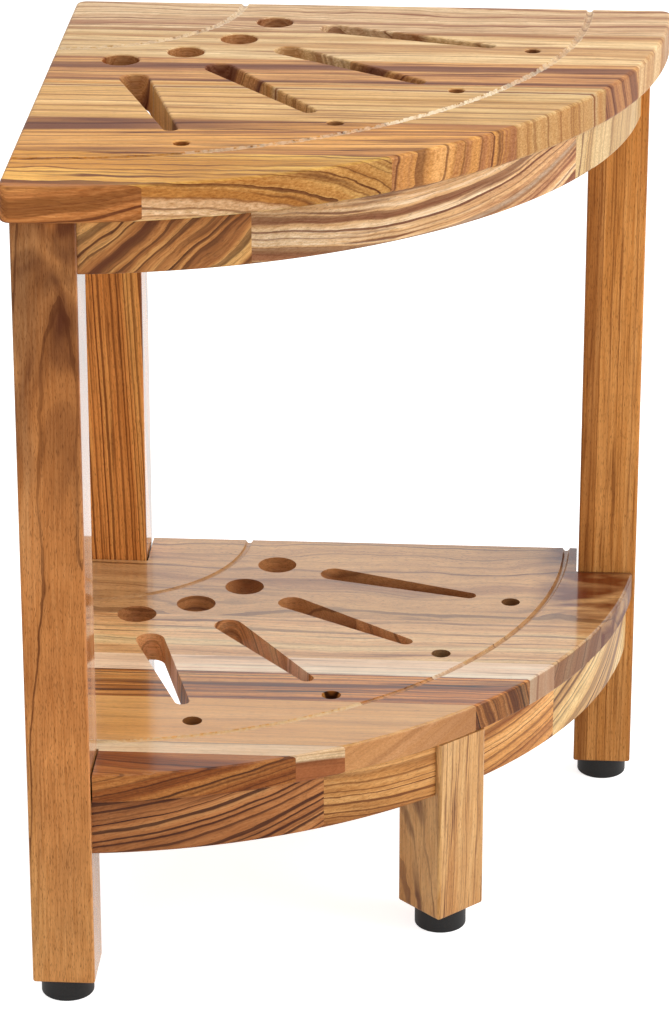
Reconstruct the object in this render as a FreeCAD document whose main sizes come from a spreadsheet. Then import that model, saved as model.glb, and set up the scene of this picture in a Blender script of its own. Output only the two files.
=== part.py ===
import FreeCAD, Part
import math
import os

import Sketcher
from FreeCAD import Placement, Rotation, Vector

# Corner shower stool in oiled teak: a quarter-round seat on three long legs, with a quarter-round
# shelf below it that a short front post helps to carry. The origin is on the floor under the
# middle of the seat's square, +Z is up, and the stool's right-angled corner is at -X and +Y.

# Driving dimensions, in millimetres and degrees
driving_sizes = {
    # Seat
    "seat_height": 457.0,
    "seat_radius": 330.0,
    "seat_thickness": 19.0,
    "seat_overhang": 11.0,
    "seat_corner_round": 6.0,
    "seat_edge_round": 2.2,
    "seat_rim_round": 1.2,
    # Seat planks' widths, as shares of the seat's radius
    "seat_plank_1_share": 51.5 / 330,
    "seat_plank_2_share": 56.5 / 330,
    "seat_plank_3_share": 41 / 330,
    "seat_plank_5_share": 54.5 / 330,
    "seat_plank_6_share": 52 / 330,
    "seat_plank_7_share": 7.5 / 330,
    # Seat drain pattern, with distances from the seat's corner as shares of its radius
    "seat_inner_groove_share": 94 / 330,
    "seat_hole_share": 119 / 330,
    "seat_hole_diameter": 19.5,
    "seat_slot_start_share": 154 / 330,
    "seat_slot_end_share": 243 / 330,
    "seat_slot_start_width": 15.0,
    "seat_slot_end_width": 7.0,
    "seat_dot_share": 268 / 330,
    "seat_dot_diameter": 8.0,
    "seat_outer_groove_share": 285 / 330,
    # Shelf
    "shelf_height": 134.0,
    "shelf_thickness": 16.0,
    "shelf_edge_round": 1.6,
    "shelf_leg_gap": 0.8,
    # Shelf planks' widths, as shares of the shelf's radius
    "shelf_plank_2_share": 53.5 / 315,
    "shelf_plank_3_share": 20 / 315,
    "shelf_plank_4_share": 34.5 / 315,
    "shelf_plank_5_share": 54 / 315,
    "shelf_plank_6_share": 13.5 / 315,
    "shelf_plank_7_share": 31.5 / 315,
    # Shelf drain pattern, with distances from the shelf's corner as shares of its radius
    "shelf_inner_groove_share": 90 / 315,
    "shelf_hole_share": 114.5 / 315,
    "shelf_hole_diameter": 22.0,
    "shelf_slot_start_share": 150 / 315,
    "shelf_slot_end_share": 232 / 315,
    "shelf_slot_start_width": 16.0,
    "shelf_slot_end_width": 8.0,
    "shelf_dot_share": 257 / 315,
    "shelf_dot_diameter": 10.5,
    "shelf_outer_groove_share": 275 / 315,
    # Both drain patterns
    "ray_angle": 18.0,
    "groove_width": 3.6,
    # Legs, post and frame
    "leg_width": 33.0,
    "leg_inset": 4.0,
    "rail_height": 31.0,
    "rail_thickness": 18.0,
    "rail_setback": 3.0,
    "apron_thickness": 20.0,
    "apron_setback": 3.0,
    "edge_round": 1.5,
    "seat_joint_right_angle": 28.0,
    "seat_joint_left_angle": 68.0,
    "shelf_joint_right_angle": 30.0,
    "shelf_joint_left_angle": 61.0,
    "post_angle": 45.0,
    "post_tongue": 13.0,
    "lap_clearance": 0.2,
    # Dowels and screws
    "dowel_diameter": 8.0,
    "dowel_length": 28.0,
    "dowel_spacing": 15.0,
    "dowel_clearance": 0.1,
    "dowel_end_clearance": 1.0,
    "screw_diameter": 4.5,
    "screw_head_diameter": 8.5,
    "screw_head_height": 3.0,
    "screw_grip": 15.0,
    "screw_bite": 10.0,
    "screw_end_distance": 60.0,
    "apron_end_screw_share": 0.51,
    "seat_apron_screw_angle": 12.0,
    "shelf_apron_screw_angle": 8.0,
    "screw_clearance": 0.1,
    "screw_head_clearance": 0.75,
    "screw_end_clearance": 0.5,
    "post_screw_recess": 3.0,
    "post_screw_length": 15.0,
    "post_screw_spacing": 14.0,
    # Levelling feet
    "foot_diameter": 28.0,
    "foot_height": 12.5,
    "foot_edge_round": 1.0,
    "stud_diameter": 8.0,
    "stud_in_pad": 8.0,
    "stud_in_leg": 24.0,
    "stud_point": 1.0,
    "stud_clearance": 0.1,
    "stud_end_clearance": 2.0,
    "insert_diameter": 11.0,
    "insert_length": 14.0,
    "insert_clearance": 0.1,
}

ray_count = 4

doc = FreeCAD.newDocument("corner_stool")
sheet = doc.addObject("Spreadsheet::Sheet", "sizes")
for row, (alias, value) in enumerate(driving_sizes.items(), start=1):
    sheet.set(f"A{row}", alias.replace("_", " "))
    sheet.set(f"B{row}", str(value))
    sheet.setAlias(f"B{row}", alias)
doc.recompute()

# Places worked out from the driving dimensions. The frame's corner is the back leg's outer corner.
seat_corner_x = "(-sizes.seat_radius / 2)"
seat_corner_y = "(sizes.seat_radius / 2)"
frame_x = f"({seat_corner_x} + sizes.leg_inset)"
frame_y = f"({seat_corner_y} - sizes.leg_inset)"
frame_side = "(sizes.seat_radius - sizes.seat_overhang - sizes.leg_inset)"
rail_length = f"({frame_side} - 2 * sizes.leg_width)"
rail_middle = "(sizes.rail_setback + sizes.rail_thickness / 2)"
apron_outer = f"({frame_side} - sizes.apron_setback)"
apron_middle = f"({apron_outer} - sizes.apron_thickness / 2)"
apron_inner = f"({apron_outer} - sizes.apron_thickness)"
apron_end = f"sqrt({apron_middle} ^ 2 - sizes.leg_width ^ 2)"
leg_angle = f"(asin(sizes.leg_width / {apron_middle}) / 1 deg)"
seat_underside = "(sizes.seat_height - sizes.seat_thickness)"
shelf_underside = "(sizes.shelf_height - sizes.shelf_thickness)"
post_centre = f"({frame_side} - sizes.leg_width / 2)"
lap_radius = f"({frame_side} - sizes.post_tongue)"


def bind(item, formulas):
    for name, formula in formulas.items():
        item.setExpression(name, formula)


def place(item, x, y, z, turn=None):
    formulas = {"Placement.Base.x": x, "Placement.Base.y": y, "Placement.Base.z": z}
    if turn is not None:
        formulas["Placement.Rotation.Angle"] = turn
    bind(item, formulas)


def around(radius, angle):
    # Place at a distance from the frame's corner, at an angle from the back edge
    return f"({frame_x} + {radius} * cos({angle}))", f"({frame_y} - {radius} * sin({angle}))"


def box(name, length, width, height, x, y, z):
    item = doc.addObject("Part::Box", name)
    bind(item, {"Length": length, "Width": width, "Height": height})
    place(item, x, y, z)
    return item


def rod(name, diameter, length, start, lift="0", lying=False):
    # A round bar along its own +Z, or along +X where it lies
    item = doc.addObject("Part::Cylinder", name)
    bind(item, {"Radius": f"({diameter}) / 2", "Height": length})
    if lying:
        item.Placement = Placement(Vector(), Rotation(Vector(0, 1, 0), 90))
        bind(item, {"Placement.Base.x": start, "Placement.Base.z": lift})
    else:
        bind(item, {"Placement.Base.z": start})
    return item


def group(name, members):
    item = doc.addObject("Part::Compound", name)
    item.Links = members
    return item


def cut(name, base, tools):
    item = doc.addObject("Part::Cut", name)
    item.Base = base
    item.Tool = tools[0] if len(tools) == 1 else group(f"{name}_cuts", tools)
    return item


def new_body(name, x, y, z, turn=None):
    body = doc.addObject("PartDesign::Body", name)
    place(body, x, y, z, turn)
    return body


def origin_feature(body, role):
    return next(item for item in body.Origin.OriginFeatures if item.Role == role)


def new_sketch(body, name, plane):
    drawing = body.newObject("Sketcher::SketchObject", name)
    drawing.AttachmentSupport = (origin_feature(body, plane), [""])
    drawing.MapMode = "FlatFace"
    return drawing


def dimension(drawing, name, formula, *constraint):
    index = drawing.addConstraint(Sketcher.Constraint(*constraint))
    drawing.renameConstraint(index, name)
    drawing.setExpression(f"Constraints.{name}", formula)


def edge_names(shape, wanted):
    return [f"Edge{number}" for number, edge in enumerate(shape.Edges, start=1) if wanted(edge)]


def is_upright(edge):
    low, high = edge.BoundBox.ZMin, edge.BoundBox.ZMax
    return high - low > 1 and edge.BoundBox.XLength + edge.BoundBox.YLength < 0.01


def lies_at(height):
    return lambda edge: max(abs(edge.BoundBox.ZMin - height), abs(edge.BoundBox.ZMax - height)) < 0.001


def round_edges(body, feature, wanted, radius):
    doc.recompute()
    fillet = body.newObject("PartDesign::Fillet", f"{body.Name}_round")
    fillet.Base = (feature, edge_names(feature.Shape, wanted))
    fillet.setExpression("Radius", radius)
    doc.recompute()
    return fillet


def check_smaller(before, after):
    if after.Shape.Volume >= before.Shape.Volume - 0.01:
        raise ValueError(f"{after.Name} removed nothing")


# Dowelled and screwed joints

def dowel_pair(name, x, y, z, turn):
    # Two dowels, one over the other, across a joint's plane, and the holes for them
    pair = {}
    spans = {
        "dowels": ("sizes.dowel_diameter", "sizes.dowel_length"),
        "holes": (
            "(sizes.dowel_diameter + 2 * sizes.dowel_clearance)",
            "(sizes.dowel_length + 2 * sizes.dowel_end_clearance)",
        ),
    }
    for kind, (diameter, length) in spans.items():
        rods = []
        for level, side in (("low", "-"), ("high", "")):
            lift = f"{side}sizes.dowel_spacing / 2"
            rods.append(rod(f"{name}_{kind}_{level}", diameter, length, f"-{length} / 2", lift, True))
        pair[kind] = group(f"{name}_{kind}", rods)
        place(pair[kind], x, y, z, turn)
    return pair


def screw(name, length, bore_length, lying, lifts, x, y, z, turn=None):
    # Screws along one axis, whose heads' undersides are at zero, and the stepped holes for them
    screws = []
    holes = []
    hole = "(sizes.screw_diameter + 2 * sizes.screw_clearance)"
    bore = "(sizes.screw_head_diameter + 2 * sizes.screw_head_clearance)"
    for number, lift in enumerate(lifts, start=1):
        part = f"{name}_{number}"
        head = rod(f"{part}_head", "sizes.screw_head_diameter", "sizes.screw_head_height",
                   "-sizes.screw_head_height", lift, lying)
        shank = rod(f"{part}_shank", "sizes.screw_diameter", length, "0", lift, lying)
        whole = doc.addObject("Part::Fuse", part)
        whole.Base = head
        whole.Tool = shank
        screws.append(whole)
        holes.append(rod(f"{part}_bore", bore, bore_length, f"-{bore_length}", lift, lying))
        holes.append(rod(f"{part}_hole", hole, f"{length} + sizes.screw_end_clearance", "0", lift, lying))
    pair = {"screws": group(f"{name}_screws", screws), "holes": group(f"{name}_holes", holes)}
    for kind in pair.values():
        place(kind, x, y, z, turn)
    return pair


# Quarter-round panels and the planks that they are glued up from

def quarter_outline(body, radius_formula, radius):
    drawing = new_sketch(body, f"{body.Name}_outline", "XY_Plane")
    straight = drawing.addGeometry(Part.LineSegment(Vector(0, 0, 0), Vector(radius, 0, 0)))
    circle = Part.Circle(Vector(0, 0, 0), Vector(0, 0, 1), radius)
    curve = drawing.addGeometry(Part.ArcOfCircle(circle, 0, math.pi / 2))
    upright = drawing.addGeometry(Part.LineSegment(Vector(0, radius, 0), Vector(0, 0, 0)))
    drawing.addConstraint([
        Sketcher.Constraint("Coincident", straight, 1, -1, 1),
        Sketcher.Constraint("Coincident", upright, 2, -1, 1),
        Sketcher.Constraint("Coincident", curve, 3, -1, 1),
        Sketcher.Constraint("Coincident", straight, 2, curve, 1),
        Sketcher.Constraint("Coincident", curve, 2, upright, 1),
        Sketcher.Constraint("Horizontal", straight),
        Sketcher.Constraint("Vertical", upright),
    ])
    dimension(drawing, "radius", radius_formula, "Radius", curve, radius)
    return drawing


def add_round_hole(drawing, name, size, radius_formula, radius):
    reach = sheet.get(f"{size}_share") * radius
    reach_formula = f"sizes.{size}_share * {radius_formula}"
    across = sheet.get(f"{size}_diameter")
    circle = Part.Circle(Vector(reach, 0, 0), Vector(0, 0, 1), across / 2)
    hole = drawing.addGeometry(circle)
    drawing.addConstraint(Sketcher.Constraint("PointOnObject", hole, 3, -1))
    dimension(drawing, f"{name}_reach", reach_formula, "DistanceX", -1, 1, hole, 3, reach)
    dimension(drawing, f"{name}_across", f"sizes.{size}_diameter", "Diameter", hole, across)


def add_tapered_slot(drawing, size, radius_formula, radius):
    near, far = sheet.get(f"{size}_start_share") * radius, sheet.get(f"{size}_end_share") * radius
    wide, narrow = sheet.get(f"{size}_start_width"), sheet.get(f"{size}_end_width")
    lean = math.acos((wide - narrow) / 2 / (far - near))
    wide_circle = Part.Circle(Vector(near, 0, 0), Vector(0, 0, 1), wide / 2)
    narrow_circle = Part.Circle(Vector(far, 0, 0), Vector(0, 0, 1), narrow / 2)
    start = drawing.addGeometry(Part.ArcOfCircle(wide_circle, lean, 2 * math.pi - lean))
    end = drawing.addGeometry(Part.ArcOfCircle(narrow_circle, -lean, lean))
    sides = []
    for side in (1, -1):
        wide_point = Vector(near + wide / 2 * math.cos(lean), side * wide / 2 * math.sin(lean), 0)
        narrow_point = Vector(far + narrow / 2 * math.cos(lean), side * narrow / 2 * math.sin(lean), 0)
        sides.append(drawing.addGeometry(Part.LineSegment(wide_point, narrow_point)))
    drawing.addConstraint([
        Sketcher.Constraint("PointOnObject", start, 3, -1),
        Sketcher.Constraint("PointOnObject", end, 3, -1),
        Sketcher.Constraint("Tangent", start, 1, sides[0], 1),
        Sketcher.Constraint("Tangent", sides[0], 2, end, 2),
        Sketcher.Constraint("Tangent", start, 2, sides[1], 1),
        Sketcher.Constraint("Tangent", sides[1], 2, end, 1),
    ])
    near_formula = f"sizes.{size}_start_share * {radius_formula}"
    far_formula = f"sizes.{size}_end_share * {radius_formula}"
    dimension(drawing, "slot_start", near_formula, "DistanceX", -1, 1, start, 3, near)
    dimension(drawing, "slot_end", far_formula, "DistanceX", -1, 1, end, 3, far)
    dimension(drawing, "slot_wide", f"sizes.{size}_start_width", "Diameter", start, wide)
    dimension(drawing, "slot_narrow", f"sizes.{size}_end_width", "Diameter", end, narrow)


def add_drain_rays(body, panel, radius_formula, radius, before):
    drawing = new_sketch(body, f"{panel}_ray", "XY_Plane")
    drawing.setExpression("AttachmentOffset.Rotation.Angle", "sizes.ray_angle")
    add_round_hole(drawing, "hole", f"{panel}_hole", radius_formula, radius)
    add_tapered_slot(drawing, f"{panel}_slot", radius_formula, radius)
    add_round_hole(drawing, "dot", f"{panel}_dot", radius_formula, radius)
    doc.recompute()
    pocket = body.newObject("PartDesign::Pocket", f"{panel}_first_ray")
    pocket.Profile = drawing
    pocket.Type = "ThroughAll"
    pocket.Reversed = True
    doc.recompute()
    check_smaller(before, pocket)
    rays = body.newObject("PartDesign::PolarPattern", f"{panel}_rays")
    rays.Originals = [pocket]
    rays.Axis = (origin_feature(body, "Z_Axis"), [""])
    rays.setExpression("Angle", f"sizes.ray_angle * {ray_count - 1}")
    rays.Occurrences = ray_count
    body.Tip = rays
    doc.recompute()
    check_smaller(pocket, rays)
    return rays


def add_grooves(body, panel, radius_formula, radius, before):
    drawing = new_sketch(body, f"{panel}_groove_section", "XZ_Plane")
    top = sheet.get(f"{panel}_thickness")
    for ring in ("inner", "outer"):
        reach = sheet.get(f"{panel}_{ring}_groove_share") * radius
        across = sheet.get("groove_width")
        circle = Part.Circle(Vector(reach, top, 0), Vector(0, 0, 1), across / 2)
        groove = drawing.addGeometry(circle)
        reach_formula = f"sizes.{panel}_{ring}_groove_share * {radius_formula}"
        dimension(drawing, f"{ring}_reach", reach_formula, "DistanceX", -1, 1, groove, 3, reach)
        dimension(drawing, f"{ring}_top", f"sizes.{panel}_thickness", "DistanceY", -1, 1, groove, 3, top)
        dimension(drawing, f"{ring}_width", "sizes.groove_width", "Diameter", groove, across)
    doc.recompute()
    grooves = body.newObject("PartDesign::Groove", f"{panel}_grooves")
    grooves.Profile = drawing
    grooves.ReferenceAxis = (drawing, ["V_Axis"])
    grooves.Angle = 360
    doc.recompute()
    check_smaller(before, grooves)


def make_panel(panel, radius_formula, radius, x, y, underside):
    # Drawn with its corner at zero and both straight edges positive, then turned into place
    body = new_body(f"{panel}_panel", x, y, underside, "270")
    outline = quarter_outline(body, radius_formula, radius)
    doc.recompute()
    slab = body.newObject("PartDesign::Pad", f"{panel}_slab")
    slab.Profile = outline
    slab.setExpression("Length", f"sizes.{panel}_thickness")
    thickness = sheet.get(f"{panel}_thickness")
    at_top, at_bottom = lies_at(thickness), lies_at(0)
    if panel == "seat":
        cornered = round_edges(body, slab, is_upright, "sizes.seat_corner_round")
        both = lambda edge: at_top(edge) or at_bottom(edge)
        rounded = round_edges(body, cornered, both, "sizes.seat_edge_round")
    else:
        is_curved = lambda edge: isinstance(edge.Curve, Part.Circle) and (at_top(edge) or at_bottom(edge))
        rounded = round_edges(body, slab, is_curved, "sizes.shelf_edge_round")
    drained = add_drain_rays(body, panel, radius_formula, radius, rounded)
    if panel == "seat":
        top_face = max(drained.Shape.Faces, key=lambda face: face.BoundBox.ZMin)
        rims = [wire for wire in top_face.Wires if not wire.isSame(top_face.OuterWire)]
        is_rim = lambda edge: any(edge.isSame(other) for wire in rims for other in wire.Edges)
        drained = round_edges(body, drained, is_rim, "sizes.seat_rim_round")
    add_grooves(body, panel, radius_formula, radius, drained)
    return body


def make_planks(panel, blank, x, y, underside, side, from_back, from_front, count):
    # Strips along X: some have their width from the back edge, some from the front, one has the rest
    thickness = f"sizes.{panel}_thickness"
    width = {number: f"sizes.{panel}_plank_{number}_share * {side}" for number in from_back + from_front}
    rest = next(number for number in range(1, count + 1) if number not in width)
    width[rest] = "(" + " - ".join([side] + [width[number] for number in from_back + from_front]) + ")"
    planks = []
    for number in range(1, count + 1):
        front = " - ".join([y] + [width[other] for other in range(1, number + 1)])
        name = f"{panel}_plank_{number}"
        strip = box(f"{name}_strip", side, width[number], thickness, x, front, underside)
        plank = doc.addObject("Part::Common", name)
        plank.Base = blank
        plank.Tool = strip
        planks.append(plank)
    return planks


# Legs, post, rails and aprons

def make_leg_block(name, x, y, height, turn=None):
    body = new_body(f"{name}_block", x, y, "sizes.foot_height", turn)
    block = body.newObject("PartDesign::AdditiveBox", f"{name}_stick")
    bind(block, {"Length": "sizes.leg_width", "Width": "sizes.leg_width", "Height": height})
    if turn is not None:
        bind(block, {"Placement.Base.x": "-sizes.leg_width / 2", "Placement.Base.y": "-sizes.leg_width / 2"})
    round_edges(body, block, lambda edge: is_upright(edge) or lies_at(0)(edge), "sizes.edge_round")
    return body


def make_rail(name, x, y, underside, turn):
    body = new_body(f"{name}_stick", x, y, f"{underside} - sizes.rail_height", turn)
    stick = body.newObject("PartDesign::AdditiveBox", f"{name}_block")
    bind(stick, {"Length": rail_length, "Width": "sizes.rail_thickness", "Height": "sizes.rail_height"})
    is_long = lambda edge: lies_at(0)(edge) and edge.BoundBox.XLength > 1
    round_edges(body, stick, is_long, "sizes.edge_round")
    return body


def make_apron_bow(name, start_angle, end_angle, underside):
    # A bow of rectangular section, swept round the frame's corner from one angle to the other
    depth = "sizes.rail_height"
    body = new_body(f"{name}_bow", frame_x, frame_y, f"{underside} - {depth}", f"360 - {end_angle}")
    bow = body.newObject("PartDesign::AdditiveCylinder", f"{name}_outer")
    bind(bow, {"Radius": apron_outer, "Height": depth, "Angle": f"{end_angle} - {start_angle}"})
    hollow = body.newObject("PartDesign::SubtractiveCylinder", f"{name}_inner")
    bind(hollow, {"Radius": apron_inner, "Height": depth})
    is_curved = lambda edge: lies_at(0)(edge) and isinstance(edge.Curve, Part.Circle)
    round_edges(body, hollow, is_curved, "sizes.edge_round")
    return body


nodes = []


def finish_node(item, name):
    item.Label = name
    nodes.append(item)


def make_frame(level, underside):
    # Rails, aprons, dowels and screws under the seat or the shelf
    middle = f"({underside} - sizes.rail_height / 2)"
    near, far = "sizes.leg_width", f"({frame_side} - sizes.leg_width)"
    right_angle, left_angle = f"sizes.{level}_joint_right_angle", f"sizes.{level}_joint_left_angle"
    back_line = f"({frame_y} - {rail_middle})"
    left_line = f"({frame_x} + {rail_middle})"

    joint_places = {
        "back_rail_back_leg": (f"{frame_x} + {near}", back_line, "0"),
        "back_rail_right_leg": (f"{frame_x} + {far}", back_line, "0"),
        "left_rail_back_leg": (left_line, f"{frame_y} - {near}", "90"),
        "left_rail_left_leg": (left_line, f"{frame_y} - {far}", "90"),
        "apron_left_leg": (f"{frame_x} + {near}", f"{frame_y} - {apron_end}", "0"),
        "apron_right_leg": (f"{frame_x} + {apron_end}", f"{frame_y} - {near}", "90"),
        "apron_left_joint": (*around(apron_middle, left_angle), f"90 - {left_angle}"),
        "apron_right_joint": (*around(apron_middle, right_angle), f"90 - {right_angle}"),
    }
    joints = {}
    for spot, (x, y, turn) in joint_places.items():
        joints[spot] = dowel_pair(f"{level}_{spot}", x, y, middle, turn)

    screw_length = "(sizes.screw_grip + sizes.screw_bite)"
    bore = "(sizes.rail_height - sizes.screw_grip)"
    head = f"{underside} - sizes.screw_grip"
    first = "(sizes.leg_width + sizes.screw_end_distance)"
    last = f"({frame_side} - sizes.leg_width - sizes.screw_end_distance)"
    share = "sizes.apron_end_screw_share"
    far_end = f"(90 - {leg_angle})"
    places = {
        "back_rail_1": (f"{frame_x} + {first}", back_line),
        "back_rail_2": (f"{frame_x} + {last}", back_line),
        "left_rail_1": (left_line, f"{frame_y} - {first}"),
        "left_rail_2": (left_line, f"{frame_y} - {last}"),
        "apron_right": around(apron_middle, f"({leg_angle} + {share} * ({right_angle} - {leg_angle}))"),
        "apron_middle_1": around(apron_middle, f"({right_angle} + sizes.{level}_apron_screw_angle)"),
        "apron_middle_2": around(apron_middle, f"({left_angle} - sizes.{level}_apron_screw_angle)"),
        "apron_left": around(apron_middle, f"({far_end} - {share} * ({far_end} - {left_angle}))"),
    }
    screws = {}
    for spot, (x, y) in places.items():
        screws[spot] = screw(f"{level}_{spot}", screw_length, bore, False, ["0"], x, y, head)

    back_rail = make_rail(
        f"{level}_rail_back", f"{frame_x} + {near}",
        f"{frame_y} - sizes.rail_setback - sizes.rail_thickness", underside, "0")
    left_rail = make_rail(
        f"{level}_rail_left", f"{frame_x} + sizes.rail_setback + sizes.rail_thickness",
        f"{frame_y} - {far}", underside, "90")
    holes = {name: pair["holes"] for name, pair in {**joints, **screws}.items()}
    rail_holes = {
        "back": (back_rail, ("back_rail_back_leg", "back_rail_right_leg", "back_rail_1", "back_rail_2")),
        "left": (left_rail, ("left_rail_back_leg", "left_rail_left_leg", "left_rail_1", "left_rail_2")),
    }
    for side, (stick, spots) in rail_holes.items():
        name = f"{level}_rail_{side}"
        finish_node(cut(name, stick, [holes[spot] for spot in spots]), name)
    dowels = group(f"{level}_frame_dowels", [pair["dowels"] for pair in joints.values()])
    finish_node(dowels, f"{level}_frame_dowels")
    all_screws = group(f"{level}_screws", [pair["screws"] for pair in screws.values()])
    finish_node(all_screws, f"{level}_screws")

    bottom = f"{underside} - sizes.rail_height"
    left_end = box(f"{level}_left_end_trim", "sizes.leg_width", frame_side, "sizes.rail_height",
                   frame_x, f"{frame_y} - {frame_side}", bottom)
    right_end = box(f"{level}_right_end_trim", frame_side, "sizes.leg_width", "sizes.rail_height",
                    frame_x, f"{frame_y} - sizes.leg_width", bottom)
    bows = {
        "right": make_apron_bow(f"{level}_apron_right", "0", right_angle, underside),
        "middle": make_apron_bow(f"{level}_apron_middle", right_angle, left_angle, underside),
        "left": make_apron_bow(f"{level}_apron_left", left_angle, "90", underside),
    }
    middle_holes = ("apron_right_joint", "apron_left_joint", "apron_middle_1", "apron_middle_2")
    cuts = {
        "right": [right_end, holes["apron_right_leg"], holes["apron_right_joint"], holes["apron_right"]],
        "middle": [holes[name] for name in middle_holes],
        "left": [left_end, holes["apron_left_leg"], holes["apron_left_joint"], holes["apron_left"]],
    }
    screw_holes = [pair["holes"] for pair in screws.values()]
    return bows, cuts, holes, screw_holes


# Seat and shelf frames
seat_bows, seat_cuts, seat_holes, seat_screw_holes = make_frame("seat", seat_underside)
shelf_bows, shelf_cuts, shelf_holes, shelf_screw_holes = make_frame("shelf", shelf_underside)

# The post laps the shelf's middle apron: the post keeps a tongue outside, the apron a web inside
post_x, post_y = around(post_centre, "sizes.post_angle")
post_top = f"({shelf_underside} - sizes.rail_height)"
lap_x, lap_y = around(lap_radius, "sizes.post_angle")
recess_x, recess_y = around(f"({apron_inner} + sizes.post_screw_recess)", "sizes.post_angle")
post_turn = "360 - sizes.post_angle"
post_screws = screw(
    "post", "sizes.post_screw_length", "(sizes.post_screw_recess + sizes.screw_head_height)", True,
    ["-sizes.post_screw_spacing / 2", "sizes.post_screw_spacing / 2"],
    recess_x, recess_y, f"{shelf_underside} - sizes.rail_height / 2", post_turn)
finish_node(post_screws["screws"], "post_screws")


def lap_block(name, near, across, depth):
    # A block across the lap, from a distance along the post's outward line
    block = box(f"{name}_block", depth, across, "sizes.rail_height", near, f"-{across} / 2", "0")
    turned = group(name, [block])
    place(turned, lap_x, lap_y, post_top, post_turn)
    return turned


post_housing = lap_block("post_housing", "-sizes.lap_clearance",
                         "(sizes.leg_width + 2 * sizes.lap_clearance)",
                         "(sizes.post_tongue + sizes.lap_clearance)")
post_cheek = lap_block("post_cheek", "-sizes.leg_width", "(2 * sizes.leg_width)", "sizes.leg_width")
shelf_cuts["middle"] += [post_housing, post_screws["holes"]]

for level, bows, cuts in (("seat", seat_bows, seat_cuts), ("shelf", shelf_bows, shelf_cuts)):
    for side, bow in bows.items():
        name = f"{level}_apron_{side}"
        finish_node(cut(name, bow, cuts[side]), name)

# Seat planks
seat_panel = make_panel(
    "seat", "sizes.seat_radius", sheet.get("seat_radius"), seat_corner_x, seat_corner_y, seat_underside)
seat_blank = cut("seat_blank", seat_panel, seat_screw_holes)
seat_planks = make_planks(
    "seat", seat_blank, seat_corner_x, seat_corner_y, seat_underside, "sizes.seat_radius",
    [1, 2, 3], [5, 6, 7], 7)

# Shelf planks, notched round the three long legs
shelf_radius = sheet.get("seat_radius") - sheet.get("seat_overhang") - sheet.get("leg_inset")
shelf_panel = make_panel("shelf", frame_side, shelf_radius, frame_x, frame_y, shelf_underside)
notch = "(sizes.leg_width + sizes.shelf_leg_gap)"
notch_corners = {
    "back": (frame_x, f"{frame_y} - {notch}"),
    "left": (frame_x, f"{frame_y} - {frame_side}"),
    "right": (f"{frame_x} + {frame_side} - {notch}", f"{frame_y} - {notch}"),
}
notches = [
    box(f"shelf_{side}_notch", notch, notch, "sizes.shelf_thickness", x, y, shelf_underside)
    for side, (x, y) in notch_corners.items()
]
shelf_blank = cut("shelf_blank", shelf_panel, notches + shelf_screw_holes)
shelf_planks = make_planks(
    "shelf", shelf_blank, frame_x, frame_y, shelf_underside, frame_side,
    [], [2, 3, 4, 5, 6, 7], 7)
for plank in seat_planks + shelf_planks:
    finish_node(plank, plank.Name)

# Long legs and the short front post, each with a bored foot end
leg_height = f"({seat_underside} - sizes.foot_height)"
post_height = f"({shelf_underside} - sizes.foot_height)"
leg_half = "(sizes.leg_width / 2)"
leg_axes = {
    "left": (f"({frame_x} + {leg_half})", f"({frame_y} - {frame_side} + {leg_half})"),
    "back": (f"({frame_x} + {leg_half})", f"({frame_y} - {leg_half})"),
    "right": (f"({frame_x} + {frame_side} - {leg_half})", f"({frame_y} - {leg_half})"),
    "front": (post_x, post_y),
}
leg_joints = {
    "left": ("left_rail_left_leg", "apron_left_leg"),
    "back": ("back_rail_back_leg", "left_rail_back_leg"),
    "right": ("back_rail_right_leg", "apron_right_leg"),
}


def foot_bore(side, x, y):
    insert_bore = "(sizes.insert_diameter + 2 * sizes.insert_clearance)"
    stud_bore = "(sizes.stud_diameter + 2 * sizes.stud_clearance)"
    wide = rod(f"{side}_insert_bore", insert_bore, "sizes.insert_length", "0")
    deep = rod(f"{side}_stud_bore", stud_bore, "(sizes.stud_in_leg + sizes.stud_end_clearance)", "0")
    bore = group(f"{side}_foot_bore", [wide, deep])
    place(bore, x, y, "sizes.foot_height")
    return bore


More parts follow.
